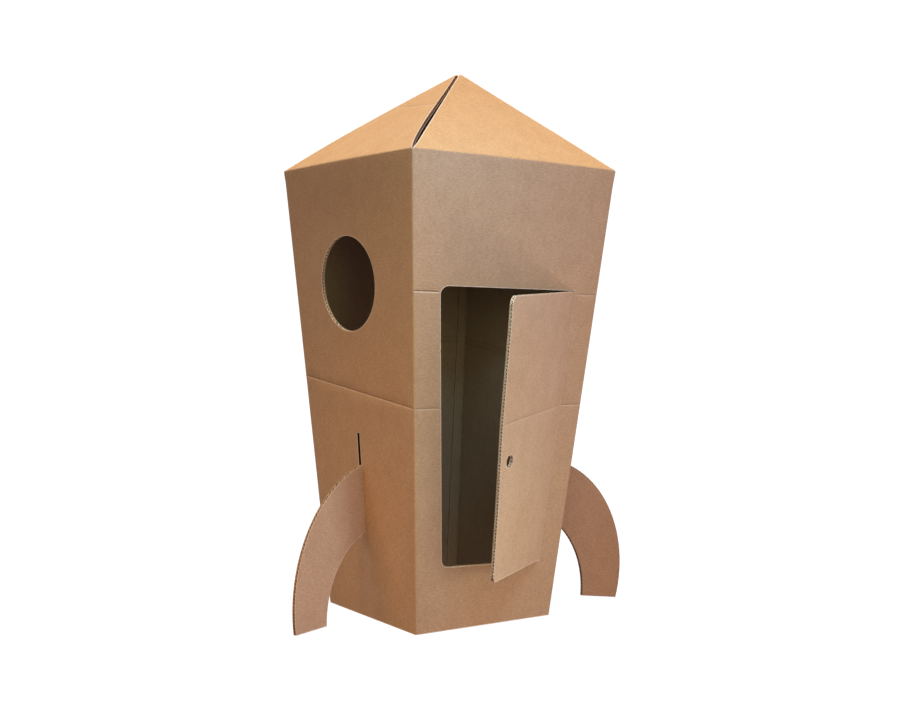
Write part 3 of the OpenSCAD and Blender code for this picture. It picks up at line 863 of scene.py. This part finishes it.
def kraft(name, base, cool, warm, fibre_and_painted_shade, rim, fold_light):
    """Kraft liner, with a cloudy tone, short fibres along the flutes, faint painted shade in lines along the
    flutes, flecks, worn rims, and creases with a painted highlight below and painted shade above them."""
    n = Nodes(name)
    sheet = n.add("ShaderNodeAttribute", attribute_name="sheet").outputs["Vector"]
    marks = n.add("ShaderNodeAttribute", attribute_name="marks").outputs["Vector"]
    from_cut, above_fold, shows = n.add("ShaderNodeSeparateXYZ", {"Vector": marks}).outputs
    place = n.add("ShaderNodeTexCoord").outputs["Object"]
    parts = n.add("ShaderNodeSeparateXYZ", {"Vector": sheet}).outputs
    clouds = n.noise(place, 3.2, 3.0, 0.5)
    colour = n.mix(n.range(clouds, 0.36, 0.64), cool, warm)
    colour = n.mix(0.45, colour, base)
    mottle = n.noise(place, 22.0, 5.0, 0.6)
    long_grain, short_grain = n.stretched(sheet, 0.16), n.stretched(sheet, 0.5)
    fibres = n.noise(long_grain, 560.0, 3.0, 0.6)
    # Faint painted shade in lines along the flutes; the bump further on raises the same lines.
    wave = n.math("SINE", n.math("MULTIPLY", parts[1], 2 * math.pi / FLUTES[0]["pitch"]))
    wave = n.math("MULTIPLY", wave, n.range(n.noise(place, 14.0, 3.0), 0.45, 0.7))
    for darkness, low, high, most in (
        (mottle, 0.3, 0.7, 0.13),
        (fibres, 0.35, 0.7, 0.30),
        (n.noise(short_grain, 320.0, 3.0, 0.65), 0.38, 0.66, 0.26),
        (n.noise(sheet, 75.0, 3.0), 0.45, 0.7, 0.10),
        (n.noise(long_grain, 330.0, 2.0, 0.4), 0.70, 0.78, 0.25),
        (wave, -1.0, 1.0, 0.05),
    ):
        colour = n.mix(n.range(darkness, low, high, 0.0, most), colour, fibre_and_painted_shade)
    # Patchy noise that breaks up both the worn rims and the painted crease highlight.
    wear_and_highlight_patches = n.range(n.noise(sheet, 160.0, 3.0), 0.35, 0.6, 0.45, 1.0)
    worn = n.math("MULTIPLY", n.range(from_cut, 0.0004, RIM, 1.0, 0.0), wear_and_highlight_patches)
    colour = n.mix(n.math("MULTIPLY", worn, 0.8), colour, rim)
    # Painted highlight in a strip just below each crease, and painted shade just above its line, as if lit
    # from above.
    below = n.math("ABSOLUTE", n.math("ADD", above_fold, 0.0017))
    light = n.math("MULTIPLY", n.range(below, 0.0004, 0.0022, 1.0, 0.0), wear_and_highlight_patches)
    colour = n.mix(n.math("MULTIPLY", light, shows), colour, fold_light)
    beside = n.math("ABSOLUTE", n.math("ADD", above_fold, -0.0006))
    dark = n.math("MULTIPLY", n.range(beside, 0.0002, 0.0022, 1.2, 0.0), shows)
    colour = n.mix(dark, colour, fibre_and_painted_shade)
    n.tree.links.new(colour, n.shader.inputs["Base Color"])
    height = n.math("MULTIPLY", wave, 0.22)
    height = n.math("ADD", height, n.math("MULTIPLY", fibres, 0.35))
    bump = n.add("ShaderNodeBump", {"Height": height, "Strength": 0.25, "Distance": 0.0004})
    n.tree.links.new(bump.outputs[0], n.shader.inputs["Normal"])
    rough = n.range(mottle, 0.3, 0.7, 0.80, 0.92)
    n.tree.links.new(rough, n.shader.inputs["Roughness"])
    n.shader.inputs["Specular IOR Level"].default_value = 0.2
    return n.material


def cut_edge(name, light, dark):
    """Paper on a cut, with darker fibres; the same is used for the near-black painted shade inside the board.
    """
    n = Nodes(name)
    sheet = n.add("ShaderNodeAttribute", attribute_name="sheet").outputs["Vector"]
    torn = n.noise(sheet, 1500.0, 3.0, 0.6)
    colour = n.mix(n.range(torn, 0.35, 0.7), light, dark)
    n.tree.links.new(colour, n.shader.inputs["Base Color"])
    n.shader.inputs["Roughness"].default_value = 0.95
    n.shader.inputs["Specular IOR Level"].default_value = 0.15
    return n.material


def make_camera():
    """The photograph's camera, fitted to the tower's corners."""
    focal, middle_x, middle_y, width, height = 1260.154, 447.714, 355.024, 900, 710
    az, pitch, roll = (math.radians(a) for a in (-35.097, 1.474, -1.075))
    away, across, aim = 3.018452, 0.012275, 0.610588
    ahead = Vector((-math.sin(az) * math.cos(pitch), math.cos(az) * math.cos(pitch), -math.sin(pitch)))
    right = Vector((math.cos(az), math.sin(az), 0))
    down = ahead.cross(right)
    c, s = math.cos(roll), math.sin(roll)
    right, down = right * c + down * s, down * c - right * s
    at = Vector((0, 0, aim)) + Vector((math.cos(az), math.sin(az), 0)) * across - ahead * away
    data = bpy.data.cameras.new("camera")
    data.sensor_width = 36.0
    data.lens = focal * data.sensor_width / width
    data.shift_x = (width / 2 - middle_x) / width
    data.shift_y = (middle_y - height / 2) / width
    data.clip_end = 100
    camera = bpy.data.objects.new("camera", data)
    camera.matrix_world = Matrix((
        (right.x, -down.x, -ahead.x, at.x),
        (right.y, -down.y, -ahead.y, at.y),
        (right.z, -down.z, -ahead.z, at.z),
        (0, 0, 0, 1),
    ))
    bpy.context.scene.collection.objects.link(camera)
    bpy.context.scene.camera = camera


def sun(name, toward, strength, colour, spread):
    data = bpy.data.lights.new(name, "SUN")
    data.energy = strength
    data.color = colour
    data.angle = math.radians(spread)
    obj = bpy.data.objects.new(name, data)
    obj.rotation_euler = Vector(toward).to_track_quat("Z", "Y").to_euler()
    bpy.context.scene.collection.objects.link(obj)


def make_stage():
    reach = 12.0
    mesh = bpy.data.meshes.new("floor")
    angles = np.linspace(0, 2 * math.pi, 48, endpoint=False)
    ring = [(reach * math.cos(a), reach * math.sin(a), 0) for a in angles]
    mesh.from_pydata(ring, [], [tuple(range(48))])
    floor = bpy.data.objects.new("floor", mesh)
    n = Nodes("floor_white")
    n.shader.inputs["Base Color"].default_value = (0.10, 0.11, 0.14, 1)
    n.shader.inputs["Emission Color"].default_value = (1, 1, 1, 1)
    n.shader.inputs["Emission Strength"].default_value = 0.93
    n.shader.inputs["Roughness"].default_value = 0.9
    n.shader.inputs["Specular IOR Level"].default_value = 0
    mesh.materials.append(n.material)
    bpy.context.scene.collection.objects.link(floor)
    floor.visible_diffuse = False
    high = 14.0
    mesh = bpy.data.meshes.new("backdrop")
    points = [(x, y, z) for x, y, _ in ring for z in (-0.01, high)]
    faces = [(2 * i, 2 * i + 1, (2 * i + 3) % 96, (2 * i + 2) % 96) for i in range(48)]
    mesh.from_pydata(points, [], faces)
    backdrop = bpy.data.objects.new("backdrop", mesh)
    n = Nodes("backdrop_white")
    n.shader.inputs["Base Color"].default_value = (0, 0, 0, 1)
    n.shader.inputs["Emission Color"].default_value = (1, 1, 1, 1)
    n.shader.inputs["Emission Strength"].default_value = 1.05
    mesh.materials.append(n.material)
    bpy.context.scene.collection.objects.link(backdrop)
    for ray in ("diffuse", "glossy", "transmission", "volume_scatter", "shadow"):
        setattr(backdrop, "visible_" + ray, False)


def around(lobes):
    """The studio's soft light: a broad glow from each direction, which fades out to the sides."""
    world = bpy.data.worlds.new("studio")
    world.use_nodes = True
    tree = world.node_tree
    direction = tree.nodes.new("ShaderNodeTexCoord").outputs["Generated"]
    total = None
    for toward, colour in lobes:
        dot = tree.nodes.new("ShaderNodeVectorMath")
        dot.operation = "DOT_PRODUCT"
        tree.links.new(direction, dot.inputs[0])
        dot.inputs[1].default_value = unit(np.array(toward))
        part = tree.nodes.new("ShaderNodeMath")
        part.operation = "MAXIMUM"
        part.inputs[1].default_value = 0
        tree.links.new(dot.outputs["Value"], part.inputs[0])
        glow = tree.nodes.new("ShaderNodeVectorMath")
        glow.operation = "SCALE"
        glow.inputs[0].default_value = colour
        tree.links.new(part.outputs[0], glow.inputs["Scale"])
        if total:
            both = tree.nodes.new("ShaderNodeVectorMath")
            tree.links.new(total, both.inputs[0])
            tree.links.new(glow.outputs[0], both.inputs[1])
            glow = both
        total = glow.outputs[0]
    tree.links.new(total, tree.nodes["Background"].inputs[0])
    bpy.context.scene.world = world


def area(name, place, aim, size, power, colour):
    data = bpy.data.lights.new(name, "AREA")
    data.energy, data.size, data.color = power, size, colour
    obj = bpy.data.objects.new(name, data)
    obj.location = place
    obj.rotation_euler = (Vector(place) - Vector(aim)).to_track_quat("Z", "Y").to_euler()
    bpy.context.scene.collection.objects.link(obj)


def inner_glow(name, place, radius, power, colour):
    """A weak lamp inside the tower, for the light that a room lets in there."""
    data = bpy.data.lights.new(name, "POINT")
    data.energy, data.shadow_soft_size, data.color = power, radius, colour
    obj = bpy.data.objects.new(name, data)
    obj.location = place
    bpy.context.scene.collection.objects.link(obj)


def make_lights():
    around([
        ((0, 0, 1), (0.40, 0.40, 0.44)),
        ((0.35, -0.9, -0.3), (0.58, 0.31, 0.36)),
        ((0.3, 1.0, 0.15), (0.50, 0.46, 0.40)),
    ])
    sun("top", (-0.22, -0.1, 1.0), 3.6, (1.0, 0.80, 0.42), 24)
    sun("top_back", (-0.1, 0.4, 1.0), 2.2, (0.26, 0.5, 1.0), 30)
    area("cool", (-0.24, -1.08, 1.36), (-0.17, -0.28, 0.84), 0.5, 9.0, (0.20, 0.53, 1.0))
    area("warm_side", (0.75, -1.0, 1.0), (0.18, -0.35, 0.72), 0.3, 0.8, (1.0, 0.62, 0.10))
    area("beside_doorway", (-0.5, -0.95, 0.8), (-0.17, -0.25, 0.65), 0.3, 1.8, (0.88, 1.0, 0.55))
    area("low", (0.1, -0.9, 0.12), (0.0, -0.2, 0.08), 0.3, 2.0, (0.78, 1.0, 0.95))
    area("low_left", (-1.0, -0.2, 0.15), (-0.2, -0.03, 0.2), 0.4, 1.9, (1.0, 0.55, 0.28))
    inner_glow("inside", (0.12, -0.04, 0.57), 0.05, 0.115, (0.93, 0.97, 0.96))
    scene = bpy.context.scene
    scene.view_settings.view_transform = "Standard"
    scene.view_settings.look = "None"


# Pale paper: the fins' worn rims, and the painted highlight just below every crease.
pale_wear_and_crease_highlight = rgb(238, 214, 186)
worn_rim = rgb(248, 226, 200)
# Darker rim colour for the right fin's painted-shade copy of the board.
fin_rim_in_painted_shade = rgb(140, 100, 70)
outer = kraft(
    "kraft_outer", rgb(204, 166, 127), rgb(205, 168, 131), rgb(203, 163, 122), rgb(128, 86, 54),
    worn_rim, pale_wear_and_crease_highlight)
# The roof flaps: the same sheet as the walls, given a warmer tone as painted warm light from the top lamp.
roof = kraft(
    "kraft_roof_painted_warm_light", rgb(206, 164, 112), rgb(207, 166, 116), rgb(205, 161, 108), rgb(132, 86, 50),
    worn_rim, pale_wear_and_crease_highlight)
inner = kraft(
    "kraft_inner", rgb(170, 150, 120), rgb(170, 151, 122), rgb(167, 146, 114), rgb(112, 92, 66),
    rgb(178, 158, 128), rgb(150, 130, 100))
# The door's outer face: a lighter copy of the wall's board, as painted light on the open door.
door_face_painted_light = kraft(
    "kraft_door_painted_light", rgb(221, 187, 147), rgb(223, 191, 153), rgb(218, 182, 139), rgb(140, 98, 68),
    worn_rim, pale_wear_and_crease_highlight)
fin_face = kraft(
    "kraft_fin", rgb(212, 176, 142), rgb(214, 179, 146), rgb(209, 172, 136), rgb(138, 96, 64), pale_wear_and_crease_highlight, pale_wear_and_crease_highlight)
# The right fin's board: a darker copy of the other fins', as painted shade on that fin.
fin_painted_shade = kraft(
    "kraft_fin_painted_shade", rgb(186, 144, 107), rgb(188, 147, 111), rgb(182, 139, 102), rgb(122, 82, 52),
    fin_rim_in_painted_shade, pale_wear_and_crease_highlight)
# Pale cut paper; the same is the painted highlight on flute flanks that face up.
edge = cut_edge("cut_edge", rgb(250, 230, 204), rgb(216, 180, 144))
# The fins' cut paper, also their painted highlight on flute flanks that face up.
fin_edge_and_highlight = cut_edge("fin_edge_and_highlight", rgb(196, 158, 122), rgb(160, 118, 84))
# Near-black painted shade for the flute hollows, the liners' backs and the fin slots.
core = cut_edge("core", rgb(34, 19, 12), rgb(22, 13, 9))
pressed = cut_edge("pressed", rgb(128, 82, 52), rgb(96, 60, 38))
fin_materials = [fin_face, inner, fin_edge_and_highlight, core, pressed]

make_tower([outer, inner, edge, core, pressed, roof])
make_door([door_face_painted_light, inner, edge, core, pressed])
make_crease([door_face_painted_light, inner, edge, core, pressed])
make_fin("window_side_fin", "left_fin", WINDOW_WALL, -LEFT_SLOT_BACK, LEFT_SWING, LEFT_FIN, fin_materials)
make_fin("right_side_fin", "right_fin", RIGHT_WALL, -RIGHT_SLOT_FRONT, 0.0, RIGHT_FIN,
         [fin_painted_shade] + fin_materials[1:])
make_fin("rear_side_fin", "rear_fin", REAR_WALL, 0.0, 0.0, RIGHT_FIN, fin_materials)

make_camera()
make_stage()
make_lights()
